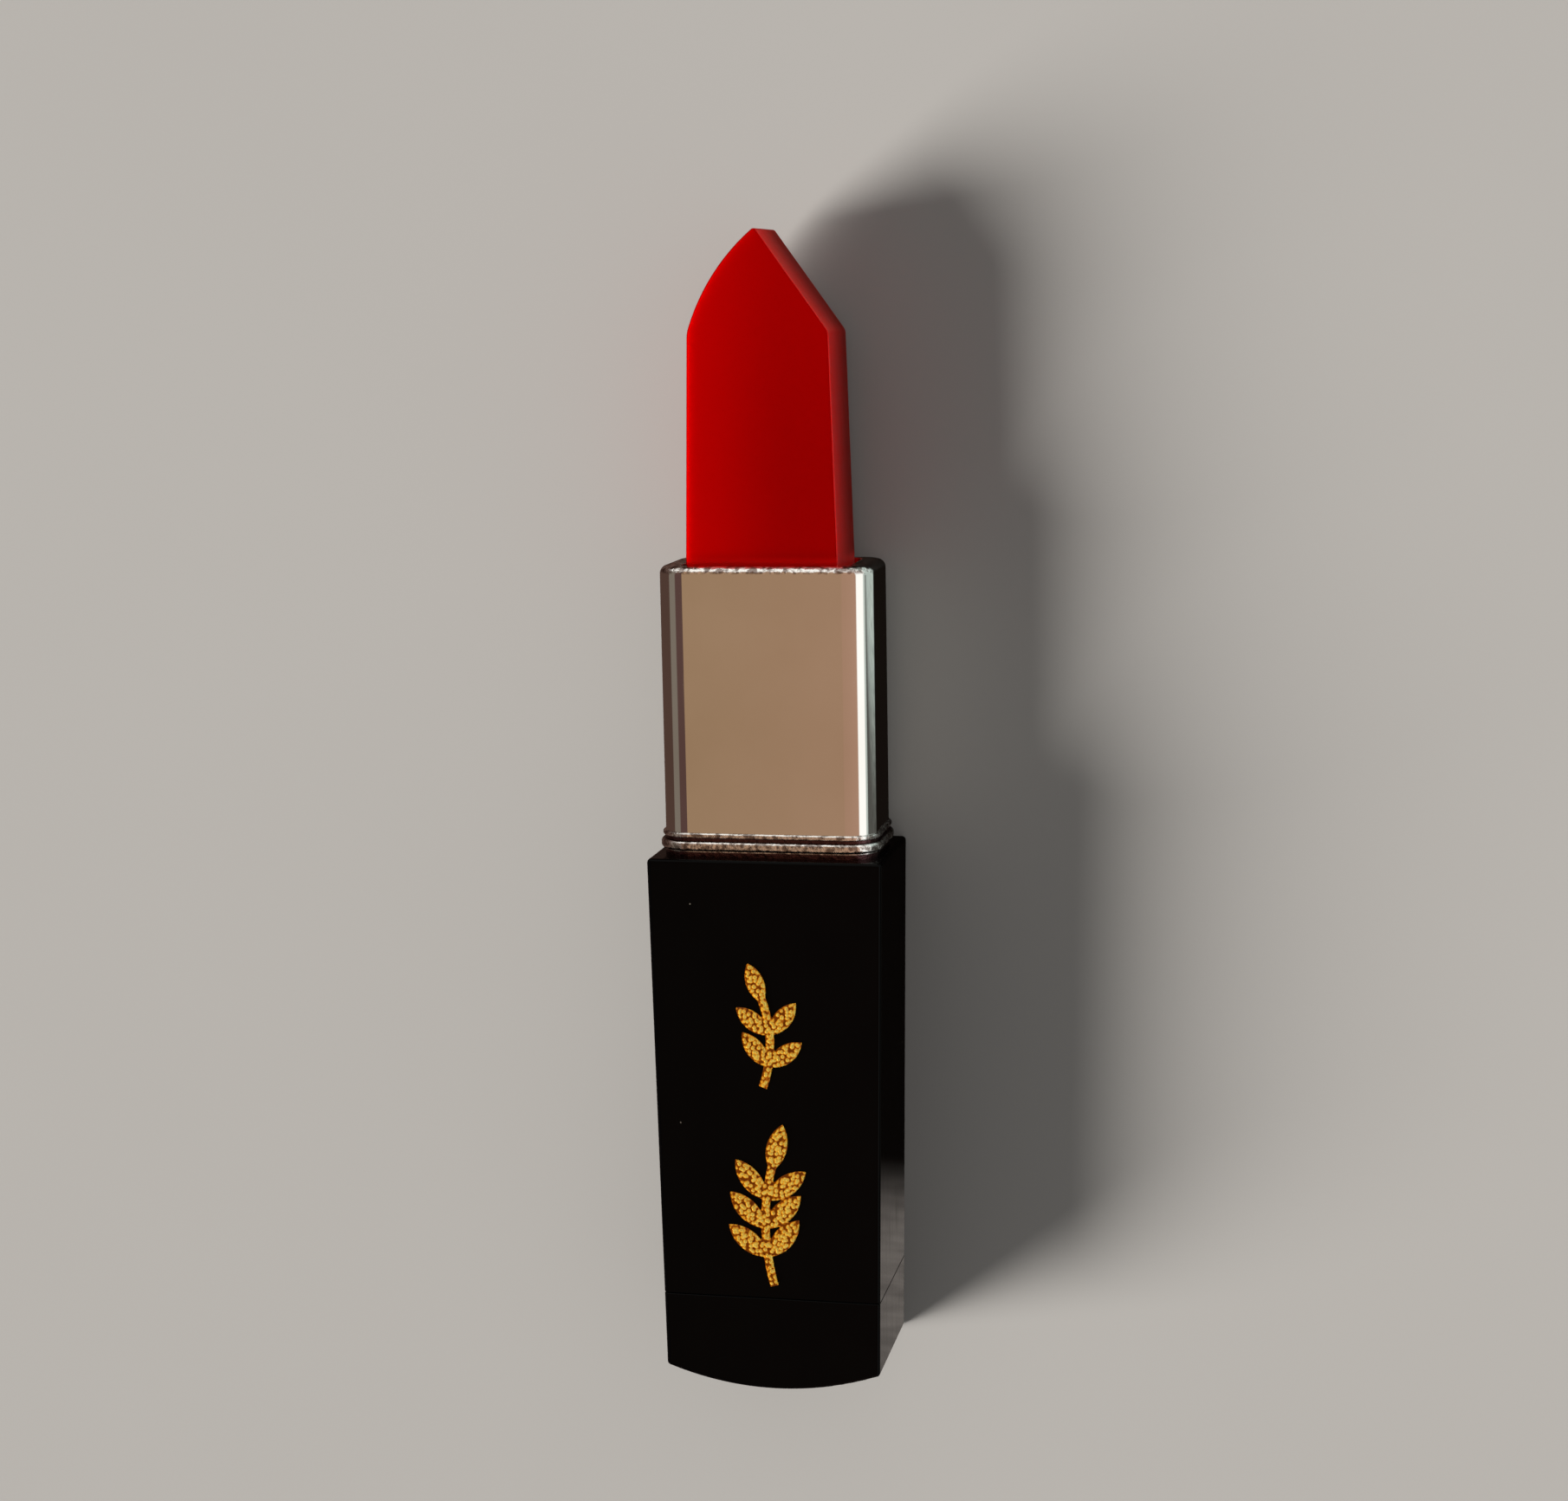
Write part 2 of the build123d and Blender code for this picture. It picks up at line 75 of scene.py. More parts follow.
# Key light: from the left and a little from below, low over the floor. Fill: a world that varies
# from one side to the other
KEY_ELEVATION = 24
KEY_HEADING = 23  # degrees from +X towards +Y, the way its light travels
KEY_SOFTNESS = 28  # degrees across
KEY_STRENGTH = 6.2
KEY_COLOUR = (1.0, 0.97, 0.93)
FILL_LOW = (0.10, 0.096, 0.092)
FILL_HIGH = (0.36, 0.355, 0.35)
FILL_SIDE = (0.8, 0.6, 0.0)  # where the fill is strongest
FILL_RANGE = (-0.8, 0.9)  # how far a direction points to that side at the low and the high fill

# Floor: a pale sheet that the camera sees, and a glowing one, painted with the floor's light and shadow, that
# only reflections see
FLOOR_SIZE = 6.0
FLOOR_COLOUR = (0.47, 0.457, 0.44)
BACKDROP_COLOUR = (0.49, 0.476, 0.458)
PAINTED_REFLECTION_FLOOR_LIFT = 0.02 * MM
# Colours the glowing floor shows to reflections: a painted dark left, painted shadow close by on the right,
# painted light by the case's foot and beyond the shadow
PAINTED_LEFT_FLOOR = (0.085, 0.048, 0.037)
SHADED_FLOOR = (0.007, 0.005, 0.004)
PAINTED_LIT_FLOOR_FOOT = (0.46, 0.41, 0.37)
PAINTED_LIT_FLOOR_RIGHT = (0.52, 0.60, 0.56)
PAINTED_DIM_FLOOR_RIGHT = (0.10, 0.10, 0.09)
FOOT_SPAN = (-32, -40)  # mm along Y, from the painted shadow to the painted lit floor by the foot
RIGHT_SPAN = (-4, 18)  # mm along Y, from the dim to the full painted light of the floor on the right
RIGHT_START = (4, 7)  # mm beyond the case's right side, from the painted shadow to the painted lit floor on the right
FLOOR_STREAKS = ((0.35, 0.72), (0.65, 1.08))  # noise and the brightness it gives, dark then light

# Cards round the lipstick, by direction in the XZ plane: degrees from +Z towards +X
CARDS = (
    (-180, (0.085, 0.048, 0.037)),
    (-73, (0.085, 0.048, 0.037)),
    (-70, (0.205, 0.172, 0.140)),
    (-45, (0.205, 0.172, 0.140)),
    (-42, (0.102, 0.055, 0.048)),
    (-21, (0.102, 0.055, 0.048)),
    (-18.5, (0.316, 0.216, 0.117)),
    (-8, (0.400, 0.238, 0.156)),
    (47, (0.440, 0.262, 0.180)),
    (50, (1.150, 1.140, 1.100)),
    (79, (1.150, 1.140, 1.100)),
    (83, (0.500, 0.560, 0.525)),
    (180, (0.400, 0.450, 0.420)),
)
TOP_CARD_COLOUR = (0.98, 0.95, 0.90)
TOP_CARD_RISE = (0.60, 0.74)  # share of the direction that points to +Y, where it starts and is full

# Sleeve: its rough rim, speckled with painted glints
RIM_BAND = (0.70, 0.45)  # mm below the sleeve's top, where the rim starts and is full

# Ring at the sleeve's foot: the top of its lower groove, then the bottom and top of its upper one
RING_GROOVES = (0.50, 1.35, 1.60)  # mm above its foot
LOWER_GROOVE_EDGE = 0.15  # mm over which each groove's painted shade fades
UPPER_GROOVE_EDGE = 0.08

# Bullet: the wax's colours with light and shade painted in by side, and where one turns into the next
PAINTED_WAX_FRONT_BELOW = ((0.47, 0.0, 0.0), (0.31, 0.0, 0.0))  # front, left then right: painted lighter on the left, darker on the right
PAINTED_WAX_FRONT_ABOVE = ((0.50, 0.0, 0.0), (0.37, 0.0, 0.0))
# Front by the sleeve's rim: painted light
PAINTED_WAX_FRONT_FOOT = (0.80, 0.004, 0.004)
PAINTED_WAX_KEY_SIDE = (0.20, 0.0, 0.0)  # side that faces the key light, painted deep
PAINTED_WAX_SIDE_BACK = (0.32, 0.022, 0.019)  # back of the shaded side, painted dark
# Shaded side near the front edge, on the slopes and at the foot: painted light
PAINTED_WAX_SIDE_FRONT = (0.98, 0.042, 0.042)
PAINTED_WAX_SLOPE_FRONT = (1.0, 0.070, 0.062)
PAINTED_WAX_SIDE_FOOT = (1.0, 0.050, 0.050)
WAX_BELOW_LENGTH = 12  # mm from the bullet's lower end to where its front starts to be painted lighter
WAX_FALL = 0.72  # share of the width over which the front is painted darker
WAX_FOOT_BAND = (0.9, -0.1)  # mm above the sleeve's top, where the foot's painted light starts and is full

# Gold relief
RELIEF_VOXEL = 0.06 * MM
RELIEF_DOME = 0.42 * MM  # how far from its outline the relief reaches its full height
RELIEF_FLAT = 0.01 * MM  # how far from the top face a point of it may lie
RELIEF_FACING_UP = 0.9  # least Z of the top face's normal
WELD_REACH = 0.002 * MM
GRAIN_SPACING = 0.36 * MM
GRAIN_JITTER = 0.45  # share of the spacing
GRAIN_REACH = 0.62  # share of the spacing, from a grain's crest to its edge
GRAIN_HEIGHT = 0.14 * MM
GRAIN_SEED = 7
OUTLINE_CREST = 0.25  # how bright a crest's painted highlight is at the outline, against one inside it


# ---------------------------------------------------------------- node graphs
COLOUR_INPUTS = (6, 7)  # a mix node's sockets for colours, which share their names with others
COLOUR_OUTPUT = 2


class Graph:
    """A node tree being built. An input given as a socket is linked, and any other is a value."""

    def __init__(self, tree):
        self.tree = tree

    def node(self, kind, inputs=None, **settings):
        made = self.tree.nodes.new(kind)
        for name, value in settings.items():
            setattr(made, name, value)
        for name, value in (inputs or {}).items():
            self.feed(made.inputs[name], value)
        return made

    def feed(self, socket, value):
        if isinstance(value, bpy.types.NodeSocket):
            self.tree.links.new(value, socket)
        else:
            socket.default_value = value

    def axis(self, vector, name):
        """One part of a vector: X, Y or Z."""
        return self.node("ShaderNodeSeparateXYZ", {0: vector}).outputs[name]

    def math(self, operation, first, second=0.0, third=0.0):
        inputs = {0: first, 1: second, 2: third}
        return self.node("ShaderNodeMath", inputs, operation=operation).outputs[0]

    def remap(self, value, source, target=(0.0, 1.0)):
        inputs = {"Value": value, "From Min": source[0], "From Max": source[1]}
        inputs.update({"To Min": target[0], "To Max": target[1]})
        return self.node("ShaderNodeMapRange", inputs, interpolation_type="SMOOTHSTEP").outputs[0]

    def ramp(self, factor, *stops):
        made = self.node("ShaderNodeValToRGB", {"Fac": factor})
        elements = made.color_ramp.elements
        while len(elements) < len(stops):
            elements.new(1.0)
        for element, (position, colour) in zip(elements, stops):
            element.position = position
            element.color = (*colour, 1.0)
        return made.outputs["Color"]

    def mix(self, factor, low, high, blend="MIX"):
        made = self.node("ShaderNodeMix", data_type="RGBA", blend_type=blend)
        self.feed(made.inputs["Factor"], factor)
        for number, colour in zip(COLOUR_INPUTS, (low, high)):
            opaque = colour if isinstance(colour, bpy.types.NodeSocket) else (*colour, 1.0)
            self.feed(made.inputs[number], opaque)
        return made.outputs[COLOUR_OUTPUT]

    def tinted(self, colour, tint):
        """One colour times another."""
        return self.mix(1.0, colour, tint, "MULTIPLY")


class Finish(Graph):
    """A material whose textures are laid out on the piece itself, with sizes in millimetres."""

    def __init__(self, name, **sockets):
        self.material = bpy.data.materials.new(name)
        self.material.use_nodes = True
        super().__init__(self.material.node_tree)
        self.shader = self.tree.nodes["Principled BSDF"]
        self.place = self.node("ShaderNodeTexCoord").outputs["Object"]
        for name, value in sockets.items():
            self.set(name, value)

    def set(self, name, value):
        """Sets or links a shader input, named in lower case with underscores."""
        socket = next(s for s in self.shader.inputs if s.name.lower().replace(" ", "_") == name)
        if isinstance(value, tuple) and socket.type == "RGBA":
            value = (*value, 1.0)
        self.feed(socket, value)

    def lean(self, name):
        """How far the surface leans to an axis: -1 faces against it and 1 along it."""
        return self.axis(self.node("ShaderNodeTexCoord").outputs["Normal"], name)

    def along(self, name, start, end):
        """Runs from 0 to 1 between two places in millimetres on an axis of the piece."""
        return self.remap(self.axis(self.place, name), (start * MM, end * MM))

    def grid(self, stretch):
        """Places on the piece in millimetres, its axes scaled by stretch."""
        scale = [part / MM for part in stretch]
        return self.node("ShaderNodeMapping", {"Vector": self.place, "Scale": scale}).outputs[0]

    def noise(self, per_mm, detail=3.0, stretch=(1, 1, 1)):
        inputs = {"Vector": self.grid(stretch), "Scale": per_mm, "Detail": detail}
        return self.node("ShaderNodeTexNoise", inputs).outputs["Fac"]

    def cells(self, per_mm, stretch):
        return self.node("ShaderNodeTexVoronoi", {"Vector": self.grid(stretch), "Scale": per_mm})

    def bump(self, *layers):
        """Raises the surface by each layer's height, a texture and its depth in millimetres."""
        normal = None
        for height, depth in layers:
            inputs = {"Height": height, "Distance": depth * MM}
            if normal:
                inputs["Normal"] = normal
            normal = self.node("ShaderNodeBump", inputs).outputs["Normal"]
        self.set("normal", normal)


# ---------------------------------------------------------------- materials
def case_black():
    """Glossy black moulding with faint rub marks and a few specks of dust."""
    finish = Finish("case_black_gloss", specular_ior_level=0.055)
    streaks = finish.noise(2.6, 2.0, (1, 0.035, 1))
    haze = finish.noise(0.16, 4.0)
    dust = finish.cells(0.33, (1, 0.8, 1))
    pick = finish.node("ShaderNodeSeparateColor", {0: dust.outputs["Color"]}).outputs[0]
    ragged = finish.math("MULTIPLY_ADD", finish.noise(6.0), 0.05, dust.outputs["Distance"])
    speck = finish.math("MULTIPLY", finish.remap(ragged, (0.050, 0.035)), finish.remap(pick, (0.15, 0.17)))
    plain = finish.mix(haze, (0.0006, 0.0006, 0.0008), (0.0014, 0.0012, 0.0012))
    finish.set("base_color", finish.mix(speck, plain, (0.20, 0.17, 0.14)))
    rubbed = finish.remap(streaks, (0.45, 0.75), (0.10, 0.20))
    smudged = finish.math("ADD", rubbed, finish.remap(haze, (0.45, 0.75), (0.0, 0.08)))
    finish.set("roughness", finish.math("MULTIPLY_ADD", speck, 0.5, smudged))
    finish.bump((finish.noise(0.7, 2.0), 0.0012), (streaks, 0.0004), (speck, 0.01))
    return finish.material


def mirror_metal():
    """Bright plated metal, a little wavy, with faint hairlines and a rough-cut top rim speckled dark and
    bright with painted glints.
    """
    finish = Finish("mirror_plating", metallic=1.0)
    cloud = finish.noise(0.10, 4.0)
    hairline = finish.noise(5.0, 2.0, (1, 0.02, 1))
    rim_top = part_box("mirror_sleeve")[1].y / MM
    rim = finish.along("Y", rim_top - RIM_BAND[0], rim_top - RIM_BAND[1])
    plain = finish.ramp(cloud, (0.30, (0.84, 0.82, 0.78)), (0.70, (0.90, 0.89, 0.87)))
    # The rim's dark and bright speckle: painted glints
    painted_glints = finish.ramp(finish.noise(1.9, 3.0), (0.42, (0.32, 0.26, 0.24)), (0.55, (0.97, 0.96, 0.94)))
    finish.set("base_color", finish.mix(rim, plain, painted_glints))
    worn = finish.remap(hairline, (0.55, 0.75), (0.0, 0.05))
    smooth = finish.math("ADD", finish.remap(cloud, (0.35, 0.70), (0.04, 0.08)), worn)
    finish.set("roughness", finish.math("MULTIPLY_ADD", rim, 0.14, smooth))
    chips = finish.math("MULTIPLY", finish.noise(3.4, 2.0), rim)
    finish.bump((finish.noise(0.35, 2.0), 0.0012), (hairline, 0.0002), (chips, 0.06))
    return finish.material


def ring_metal():
    """Plated ring, finely hammered, speckled dark and bright with painted glints, its grooves painted dark as
    shade.
    """
    finish = Finish("hammered_plating", metallic=1.0)
    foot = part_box("collar_ring")[0].y / MM
    grit = finish.noise(2.1, 3.0)
    fine = finish.noise(9.0, 2.0)
    # Dark and bright speckle: painted glints
    painted_glints = finish.ramp(grit, (0.42, (0.30, 0.26, 0.24)), (0.57, (0.97, 0.96, 0.94)))
    # The grooves are painted dark as shade
    lower_top, upper_foot, upper_top = (foot + place for place in RING_GROOVES)
    lower = finish.along("Y", lower_top, lower_top - LOWER_GROOVE_EDGE)
    upper_start = finish.along("Y", upper_foot - UPPER_GROOVE_EDGE, upper_foot)
    upper_end = finish.along("Y", upper_top + UPPER_GROOVE_EDGE, upper_top)
    painted_groove_shade = finish.math("ADD", lower, finish.math("MULTIPLY", upper_start, upper_end))
    finish.set("base_color", finish.mix(painted_groove_shade, painted_glints, (0.085, 0.040, 0.042)))
    finish.set("roughness", finish.remap(fine, (0.35, 0.65), (0.18, 0.32)))
    finish.bump((grit, 0.07), (fine, 0.012))
    return finish.material


def lipstick_red():
    """Waxy, translucent red with a soft sheen of its own colour.

    Light and shade are painted into its colour by side, as in the photo: the front is painted darker to the
    right and lighter to the tip, the side towards the key light deep, the other side pale, and the foot by
    the sleeve's rim light.
    """
    finish = Finish(
        "lipstick_wax",
        subsurface_weight=1.0,
        subsurface_radius=(1.0, 0.03, 0.02),
        subsurface_scale=2.0 * MM,
        specular_ior_level=0.40,
        specular_tint=(1.0, 0.03, 0.03),
    )
    (left, low, back), (right, high, front) = (
        [part / MM for part in corner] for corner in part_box("lipstick_bullet")
    )
    rim_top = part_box("mirror_sleeve")[1].y / MM
    across = finish.along("X", left, left + WAX_FALL * (right - left))
    up = finish.along("Y", low + WAX_BELOW_LENGTH, high)
    foot = finish.along("Y", rim_top + WAX_FOOT_BAND[0], rim_top + WAX_FOOT_BAND[1])
    # Front: painted darker to the right and lighter towards the tip
    plain = finish.mix(up, finish.mix(across, *PAINTED_WAX_FRONT_BELOW), finish.mix(across, *PAINTED_WAX_FRONT_ABOVE))
    # Side facing the key light: painted deep; foot by the sleeve's rim: painted light
    key_side = finish.remap(finish.lean("X"), (-0.08, -0.40))
    painted_front_shading = finish.mix(key_side, finish.mix(foot, plain, PAINTED_WAX_FRONT_FOOT), PAINTED_WAX_KEY_SIDE)
    # Shaded side: painted light near the front edge and on the slopes, darker towards the back, lighter at
    # the foot
    slope = finish.remap(finish.lean("Y"), (0.15, 0.50))
    painted_side_light = finish.mix(slope, PAINTED_WAX_SIDE_FRONT, PAINTED_WAX_SLOPE_FRONT)
    side = finish.mix(finish.along("Z", back, front), PAINTED_WAX_SIDE_BACK, painted_side_light)
    shaded_side = finish.remap(finish.lean("X"), (0.35, 0.75))
    finish.set("base_color", finish.mix(shaded_side, painted_front_shading, finish.mix(foot, side, PAINTED_WAX_SIDE_FOOT)))
    cloud = finish.noise(0.14, 3.0)
    marks = finish.noise(0.9, 3.0, (1, 0.25, 1))
    soft = finish.remap(cloud, (0.3, 0.7), (0.30, 0.38))
    finish.set("roughness", finish.math("ADD", soft, finish.remap(marks, (0.45, 0.7), (0.0, 0.05))))
    finish.bump((finish.noise(0.5, 2.0), 0.004), (marks, 0.0008), (finish.noise(6.0, 3.0), 0.0006))
    return finish.material


def gold_glitter():
    """Gold grains in orange glaze, with painted highlights on their crests, painted shade between them and on
    faces leaning left, and random painted sparkle.
    """
    finish = Finish("gold_glitter_grain", metallic=0.50, specular_ior_level=0.25)
    crest = finish.node("ShaderNodeAttribute", attribute_name="crest").outputs["Fac"]
    sparkle = finish.noise(3.4, 3.0)
    # Random painted sparkle, then painted shade on faces leaning left and light on those leaning right
    uneven = finish.math("ADD", crest, finish.remap(sparkle, (0.3, 0.7), (-0.18, 0.22)))
    painted_light = finish.math("ADD", uneven, finish.remap(finish.lean("X"), (-0.8, 0.6), (-0.40, 0.16)))
    colour = finish.ramp(
        painted_light,
        (0.0, (0.20, 0.045, 0.001)),
        (0.24, (0.68, 0.20, 0.006)),
        (0.48, (1.0, 0.50, 0.030)),
        (0.86, (1.0, 0.74, 0.13)),
    )
    finish.set("base_color", colour)
    finish.set("roughness", finish.remap(sparkle, (0.3, 0.7), (0.42, 0.24)))
    finish.bump((finish.noise(7.0, 2.0), 0.02))
    return finish.material


def moulded(name, low, high, roughness, grain):
    """Plain moulded part: colour drifting from low to high, with a fine grain of that depth in mm."""
    finish = Finish(name)
    drift = finish.noise(0.2, 3.0)
    texture = finish.noise(5.0, 3.0)
    finish.set("base_color", finish.mix(drift, low, high))
    finish.set("roughness", finish.remap(texture, (0.3, 0.7), (roughness - 0.06, roughness + 0.06)))
    finish.bump((texture, grain))
    return finish.material


def turned_metal(name, low, high, roughness):
    """Inner metal part: fine marks running round it and a patchy tone."""
    finish = Finish(name, metallic=1.0)
    marks = finish.noise(6.0, 2.0, (0.2, 1, 0.2))
    patch = finish.noise(0.5, 4.0)
    finish.set("base_color", finish.mix(patch, low, high))
    finish.set("roughness", finish.remap(marks, (0.35, 0.65), (roughness - 0.07, roughness + 0.07)))
    finish.bump((marks, 0.003))
    return finish.material


def dress_nodes():
    """Gives each CAD node listed below its material."""
    black = case_black()
    acetal = moulded("acetal_white", (0.74, 0.73, 0.69), (0.80, 0.79, 0.76), 0.38, 0.003)
    inner = moulded("inner_black_moulding", (0.012, 0.012, 0.013), (0.020, 0.020, 0.021), 0.40, 0.004)
    dress = {
        "body_shell": black,
        "base_cap": black,
        "mirror_sleeve": mirror_metal(),
        "collar_ring": ring_metal(),
        "lipstick_bullet": lipstick_red(),
        "guide_tube": inner,
        "bearing_plate": inner,
        "lift_carrier": acetal,
        "drive_nut": acetal,
        "drive_spindle": acetal,
        "bullet_cup": turned_metal("cup_silver", (0.72, 0.71, 0.69), (0.82, 0.81, 0.79), 0.30),
        "base_weight": turned_metal("weight_steel", (0.42, 0.41, 0.40), (0.52, 0.51, 0.49), 0.40),
        "retaining_clip": turned_metal("clip_steel", (0.50, 0.49, 0.48), (0.60, 0.59, 0.58), 0.32),
        "friction_ring": moulded("ring_rubber", (0.020, 0.018, 0.017), (0.034, 0.031, 0.029), 0.62, 0.006),
    }
    for name, material in dress.items():
        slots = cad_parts[name].data.materials
        slots.clear()
        slots.append(material)


# ---------------------------------------------------------------- gold relief
def grain_tree(low, high):
    """Scattered grain centres over the relief's rectangle, as a search tree."""
    dice = random.Random(GRAIN_SEED)
    columns = math.ceil((high.x - low.x) / GRAIN_SPACING) + 2
    rows = math.ceil((high.y - low.y) / GRAIN_SPACING) + 2
    tree = kdtree.KDTree(columns * rows)
    for number in range(columns * rows):
        row, column = divmod(number, columns)
        shift = [dice.uniform(-GRAIN_JITTER, GRAIN_JITTER) for _ in "XY"]
        cell = Vector((column, row, 0)) + Vector((*shift, 0))
        tree.insert(Vector((low.x, low.y, 0)) + cell * GRAIN_SPACING, number)
    tree.balance()
    return tree


def welded(mesh):
    """A copy of a mesh with the doubled points along its sharp edges joined."""
    work = bmesh.new()
    work.from_mesh(mesh)
    bmesh.ops.remove_doubles(work, verts=work.verts, dist=WELD_REACH)
    copy = bpy.data.meshes.new("welded")
    work.to_mesh(copy)
    work.free()
    return copy


def rim_edges(mesh, level):
    """The outline's edges: those that one top triangle and one side triangle share."""
    flat = {}
    for polygon in mesh.polygons:
        gap = max(abs(mesh.vertices[index].co.z - level) for index in polygon.vertices)
        if polygon.normal.z > RELIEF_FACING_UP and gap < RELIEF_FLAT:
            for key in polygon.edge_keys:
                flat[key] = flat.get(key, 0) + 1
    return [key for key, count in flat.items() if count == 1]


def glitter_relief():
    """Puffed relief over the CAD ornament's outline, its surface broken into small domed grains."""
    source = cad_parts["gold_ornament"]
    low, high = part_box("gold_ornament")
    points = []
    top = welded(source.data)
    for first, second in rim_edges(top, high.z):
        start, end = top.vertices[first].co, top.vertices[second].co
        steps = max(1, round((end - start).length / RELIEF_VOXEL))
        points += [start.lerp(end, step / steps) for step in range(steps)]
    outline = kdtree.KDTree(len(points))
    for number, point in enumerate(points):
        outline.insert(Vector((point.x, point.y, 0)), number)
    outline.balance()

    relief = bpy.data.objects.new("glitter_relief", top)
    scene.collection.objects.link(relief)
    remesh = relief.modifiers.new("remesh", "REMESH")
    remesh.mode = "VOXEL"
    remesh.voxel_size = RELIEF_VOXEL
    graph = bpy.context.evaluated_depsgraph_get()
    mesh = bpy.data.meshes.new_from_object(relief.evaluated_get(graph))
    relief.modifiers.clear()
    relief.data = mesh

    grains = grain_tree(low, high)
    depth = high.z - low.z
    crest = mesh.attributes.new("crest", "FLOAT", "POINT")
    for vertex in mesh.vertices:
        flat = Vector((vertex.co.x, vertex.co.y, 0))
        inset = min(1.0, outline.find(flat)[2] / RELIEF_DOME)
        dome = math.sqrt(1 - (1 - inset) ** 2)
        from_crest = grains.find(flat)[2] / GRAIN_SPACING
        bulge = max(0.0, 1 - (from_crest / GRAIN_REACH) ** 2)
        share = (vertex.co.z - low.z) / depth
        lifted = dome * (1 - GRAIN_HEIGHT / depth) + bulge * GRAIN_HEIGHT / depth * dome
        vertex.co.z = low.z + depth * min(1.0, max(0.0, share)) * lifted
        # A grain's painted highlight: full on its top, dimmer towards the outline
        crest.data[vertex.index].value = bulge * (OUTLINE_CREST + (1 - OUTLINE_CREST) * dome)
    mesh.shade_smooth()
    mesh.materials.clear()
    mesh.materials.append(gold_glitter())
    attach(relief, "case")
    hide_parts("gold_ornament")


# ---------------------------------------------------------------- stage
def sheet_of_floor(name, height, material):
    """A square of floor."""
    half = FLOOR_SIZE / 2
    corners = [(-half, -half, height), (half, -half, height), (half, half, height), (-half, half, height)]
    mesh = bpy.data.meshes.new(name)
    mesh.from_pydata(corners, [], [(0, 1, 2, 3)])
    mesh.materials.append(material)
    floor = bpy.data.objects.new(name, mesh)
    scene.collection.objects.link(floor)
    return floor


def paper():
    """Pale matt paper with a barely visible drift in its tone."""
    finish = Finish("floor_paper", specular_ior_level=0.0)
    dark, pale = (tuple(part * share for part in FLOOR_COLOUR) for share in (0.98, 1.02))
    finish.set("base_color", finish.mix(finish.noise(0.02, 3.0), dark, pale))
    finish.set("roughness", 0.9)
    return finish.material


def reflected_tones():
    """Glowing floor that shiny parts see below them, with light and shadow painted on: dark on the left, a
    painted shadow close by on the right, then painted light.
    """
    finish = Finish("reflected_tones", base_color=(0.0, 0.0, 0.0), specular_ior_level=0.0)
    finish.set("emission_strength", 1.0)
    half_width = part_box("body_shell")[1].x / MM
    uneven = finish.noise(0.9, 4.0, (0.25, 1, 1))
    streaks = finish.ramp(uneven, *[(noise, (tone,) * 3) for noise, tone in FLOOR_STREAKS])
    foot = finish.along("Y", *FOOT_SPAN)
    # Painted shadow next to the case, turning to painted light by its foot
    shaded = finish.mix(foot, SHADED_FLOOR, finish.tinted(streaks, PAINTED_LIT_FLOOR_FOOT))
    right = finish.mix(finish.along("Y", *RIGHT_SPAN), PAINTED_DIM_FLOOR_RIGHT, PAINTED_LIT_FLOOR_RIGHT)
    near = finish.mix(finish.along("X", -half_width, half_width), PAINTED_LEFT_FLOOR, shaded)
    beyond = finish.along("X", *(half_width + distance for distance in RIGHT_START))
    # Beyond the shadow on the right: painted lit floor
    finish.set("emission_color", finish.mix(beyond, near, finish.tinted(streaks, right)))
    return finish.material


def stage():
    """The pale floor, and a glowing floor painted with light and shadow that only reflections see."""
    level = cad_box[0].z
    floor = sheet_of_floor("floor", level, paper())
    floor.visible_glossy = False
    painted_reflection_sheet = sheet_of_floor("reflected_floor", level + PAINTED_REFLECTION_FLOOR_LIFT, reflected_tones())
    painted_reflection_sheet.visible_camera = False
    painted_reflection_sheet.visible_diffuse = False
    painted_reflection_sheet.visible_shadow = False
    painted_reflection_sheet.visible_transmission = False


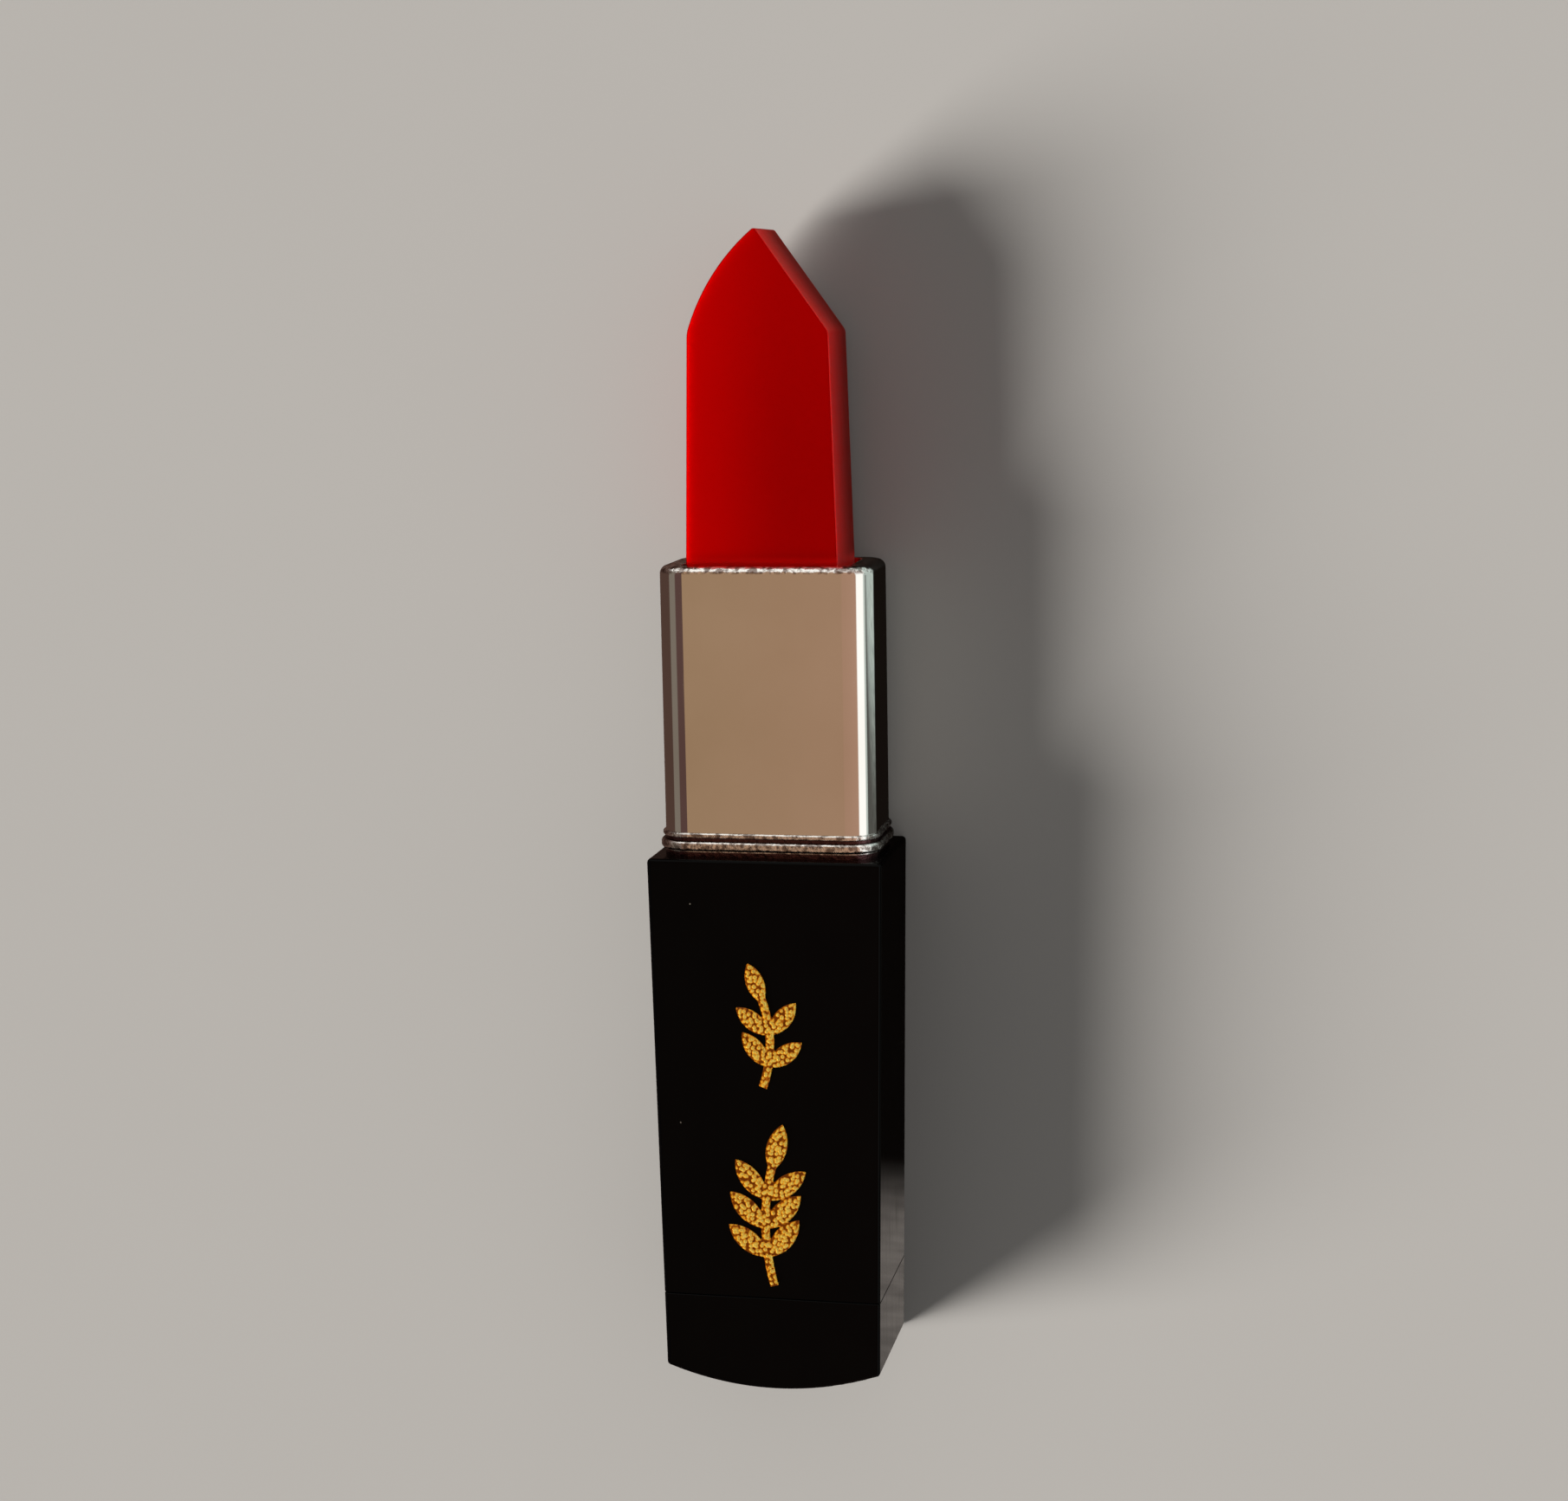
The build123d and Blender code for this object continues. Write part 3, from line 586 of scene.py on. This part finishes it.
def key_light():
    """A large soft light, which reflections see as one of the cards instead."""
    lamp = bpy.data.lights.new("key", "SUN")
    lamp.energy = KEY_STRENGTH
    lamp.color = KEY_COLOUR
    lamp.angle = math.radians(KEY_SOFTNESS)
    key = bpy.data.objects.new("key", lamp)
    heading, drop = math.radians(KEY_HEADING), math.radians(KEY_ELEVATION)
    travel = Vector((math.cos(heading) * math.cos(drop), math.sin(heading) * math.cos(drop), -math.sin(drop)))
    key.rotation_euler = travel.to_track_quat("-Z", "Y").to_euler()
    key.visible_glossy = False
    scene.collection.objects.link(key)


def surroundings():
    """Fill for matt surfaces, the cards for shiny ones, and a plain backdrop for the camera."""
    world = bpy.data.worlds.new("studio")
    scene.world = world
    world.use_nodes = True
    world.cycles.sampling_method = "NONE"
    graph = Graph(world.node_tree)
    direction = graph.node("ShaderNodeTexCoord").outputs["Generated"]
    axes = graph.node("ShaderNodeSeparateXYZ", {0: direction}).outputs
    turn = graph.math("ARCTAN2", axes["X"], axes["Z"])
    share = graph.math("ADD", graph.math("DIVIDE", turn, 2 * math.pi), 0.5)
    cards = graph.ramp(share, *[((angle + 180) / 360, colour) for angle, colour in CARDS])
    cards = graph.mix(graph.remap(axes["Y"], TOP_CARD_RISE), cards, TOP_CARD_COLOUR)
    path = graph.node("ShaderNodeLightPath").outputs
    aim = graph.node("ShaderNodeVectorMath", {0: direction, 1: FILL_SIDE}, operation="DOT_PRODUCT")
    fill = graph.mix(graph.remap(aim.outputs["Value"], FILL_RANGE), FILL_LOW, FILL_HIGH)
    seen = graph.mix(path["Is Glossy Ray"], fill, cards)
    seen = graph.mix(path["Is Camera Ray"], seen, BACKDROP_COLOUR)
    graph.feed(world.node_tree.nodes["Background"].inputs["Color"], seen)


def camera():
    """The camera, at its place over the lipstick."""
    lens = bpy.data.cameras.new("camera")
    lens.lens = CAMERA_LENS
    lens.sensor_width = CAMERA_SENSOR
    lens.clip_start, lens.clip_end = CAMERA_CLIP
    eye = bpy.data.objects.new("camera", lens)
    eye.location = CAMERA_PLACE
    eye.rotation_euler = [math.radians(angle) for angle in CAMERA_TURN]
    scene.collection.objects.link(eye)
    scene.camera = eye


# ---------------------------------------------------------------- making
camera()
stage()
key_light()
surroundings()
dress_nodes()
glitter_relief()
scene.view_settings.view_transform = "Standard"
